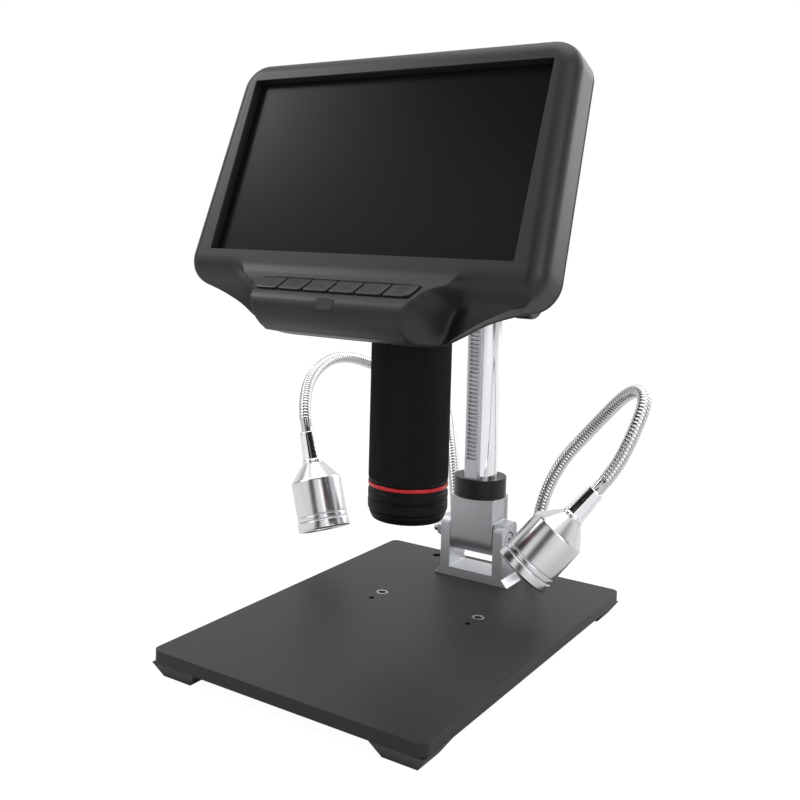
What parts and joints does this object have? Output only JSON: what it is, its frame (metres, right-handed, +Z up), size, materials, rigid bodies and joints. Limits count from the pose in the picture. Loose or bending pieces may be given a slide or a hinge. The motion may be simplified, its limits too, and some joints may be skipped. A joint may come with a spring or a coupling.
{
  "type": "screen microscope",
  "caption": "Desk microscope with a tilted screen and upright barrel on a toothed post, a plate base and gooseneck lamps.",
  "frame": {"origin": "on the table under the middle of the base plate, in the plane of the feet", "axes": "+Z up, the screen faces -Y and +X is on the user's right"},
  "size_m": [0.2086, 0.2419, 0.2808],
  "materials": {
    "painted_steel": "satin black powder coat",
    "foot_rubber": "matt rubber",
    "screw_steel": "plain steel",
    "blasted_aluminium": "sand-blasted silver",
    "polished_steel": "polished",
    "black_plastic": "fine matt black",
    "key_plastic": "fine matt black",
    "window_plastic": "dark gloss",
    "screen_glass": "dark glossy screen",
    "board": "green board",
    "red_anodised": "red anodised",
    "black_metal": "matt black",
    "lens_glass": "clear",
    "lamp_metal": "fine turned silver",
    "liner_brass": "plain"
  },
  "bodies": {
    "base": {"base_plate": "painted_steel", "foot_front_left": "foot_rubber", "foot_front_right": "foot_rubber", "foot_back_left": "foot_rubber", "foot_back_right": "foot_rubber", "foot_screws": "screw_steel", "clip_inserts": "screw_steel", "hinge_bracket": "blasted_aluminium", "bracket_screws": "screw_steel", "pivot_bolt": "screw_steel", "pivot_washer": "screw_steel", "pivot_nut": "screw_steel", "arm_sockets": "polished_steel", "arm_nuts": "screw_steel"},
    "post": {"hinge_block": "blasted_aluminium", "post_collar": "black_plastic", "collar_set_screw": "screw_steel", "post_tube": "polished_steel", "rack_bar": "blasted_aluminium", "post_cap": "black_plastic"},
    "head": {"focus_carriage": "black_metal", "carriage_liner": "liner_brass", "head_bracket": "black_metal", "head_screws": "screw_steel", "front_bezel": "black_plastic", "indicator_window": "window_plastic", "rear_cover": "black_plastic", "side_ports": "screw_steel", "lcd_panel": "screen_glass", "main_board": "board", "button_board": "board", "lens_tube": "black_metal", "barrel_sleeve": "black_metal", "red_ring": "red_anodised", "lens_cell": "black_metal", "objective_lens": "lens_glass", "sensor_board": "board"},
    "focus_drive": {"pinion_shaft": "screw_steel", "focus_knob_left": "black_plastic", "focus_knob_right": "black_plastic"},
    "brake": {"brake_screw": "black_metal"},
    "nose": {"focus_ring": "black_metal"},
    "key_power": {"button_power": "key_plastic"},
    "key_menu": {"button_menu": "key_plastic"},
    "key_up": {"button_up": "key_plastic"},
    "key_down": {"button_down": "key_plastic"},
    "key_confirm": {"button_confirm": "key_plastic"},
    "key_capture": {"button_capture": "key_plastic"},
    "arm_left": {"gooseneck_left": "polished_steel", "ferrule_left": "polished_steel", "lamp_head_left": "lamp_metal", "lamp_ring_left": "lamp_metal", "lamp_lens_left": "lens_glass", "light_board_left": "board"},
    "arm_right": {"gooseneck_right": "polished_steel", "ferrule_right": "polished_steel", "lamp_head_right": "lamp_metal", "lamp_ring_right": "lamp_metal", "lamp_lens_right": "lens_glass", "light_board_right": "board"}
  },
  "joints": [
    {"name": "post_tilt", "type": "hinge", "parent": "base", "child": "post", "pos_m": [0, 0.075, 0.0352], "axis": [-1, 0, 0], "range_deg": [-8, 15]},
    {"name": "focus_slide", "type": "slide", "parent": "post", "child": "head", "axis": [0, 0, 1], "range_m": [-0.02, 0.035]},
    {"name": "focus_spin", "type": "hinge", "parent": "head", "child": "focus_drive", "pos_m": [0, 0.05865, 0.1695], "axis": [1, 0, 0], "range_deg": [-365, 210]},
    {"name": "brake_turn", "type": "hinge", "parent": "head", "child": "brake", "pos_m": [0, 0.1, 0.1695], "axis": [0, 1, 0], "range_deg": [-90, 90]},
    {"name": "lens_focus_turn", "type": "hinge", "parent": "head", "child": "nose", "pos_m": [0, -0.0015, 0.07], "axis": [0, 0, 1], "range_deg": [-60, 60]},
    {"name": "arm_left_swivel", "type": "hinge", "parent": "base", "child": "arm_left", "pos_m": [-0.024, 0.095, 0.016], "axis": [0, 0, 1], "range_deg": [-30, 25]},
    {"name": "arm_right_swivel", "type": "hinge", "parent": "base", "child": "arm_right", "pos_m": [0.024, 0.095, 0.016], "axis": [0, 0, 1], "range_deg": [-15, 30]},
    {"name": "press_power", "type": "slide", "parent": "head", "child": "key_power", "axis": [0, 0.582, -0.8132], "range_m": [0, 0.0006], "stiffness_N_per_m": 600},
    {"name": "press_menu", "type": "slide", "parent": "head", "child": "key_menu", "axis": [0, 0.582, -0.8132], "range_m": [0, 0.0006], "stiffness_N_per_m": 600},
    {"name": "press_up", "type": "slide", "parent": "head", "child": "key_up", "axis": [0, 0.582, -0.8132], "range_m": [0, 0.0006], "stiffness_N_per_m": 600},
    {"name": "press_down", "type": "slide", "parent": "head", "child": "key_down", "axis": [0, 0.582, -0.8132], "range_m": [0, 0.0006], "stiffness_N_per_m": 600},
    {"name": "press_confirm", "type": "slide", "parent": "head", "child": "key_confirm", "axis": [0, 0.582, -0.8132], "range_m": [0, 0.0006], "stiffness_N_per_m": 600},
    {"name": "press_capture", "type": "slide", "parent": "head", "child": "key_capture", "axis": [0, 0.582, -0.8132], "range_m": [0, 0.0006], "stiffness_N_per_m": 600}
  ],
  "couplings": [
    {"joint": "focus_spin", "follows": "focus_slide", "rad_per_m": -178.5}
  ]
}
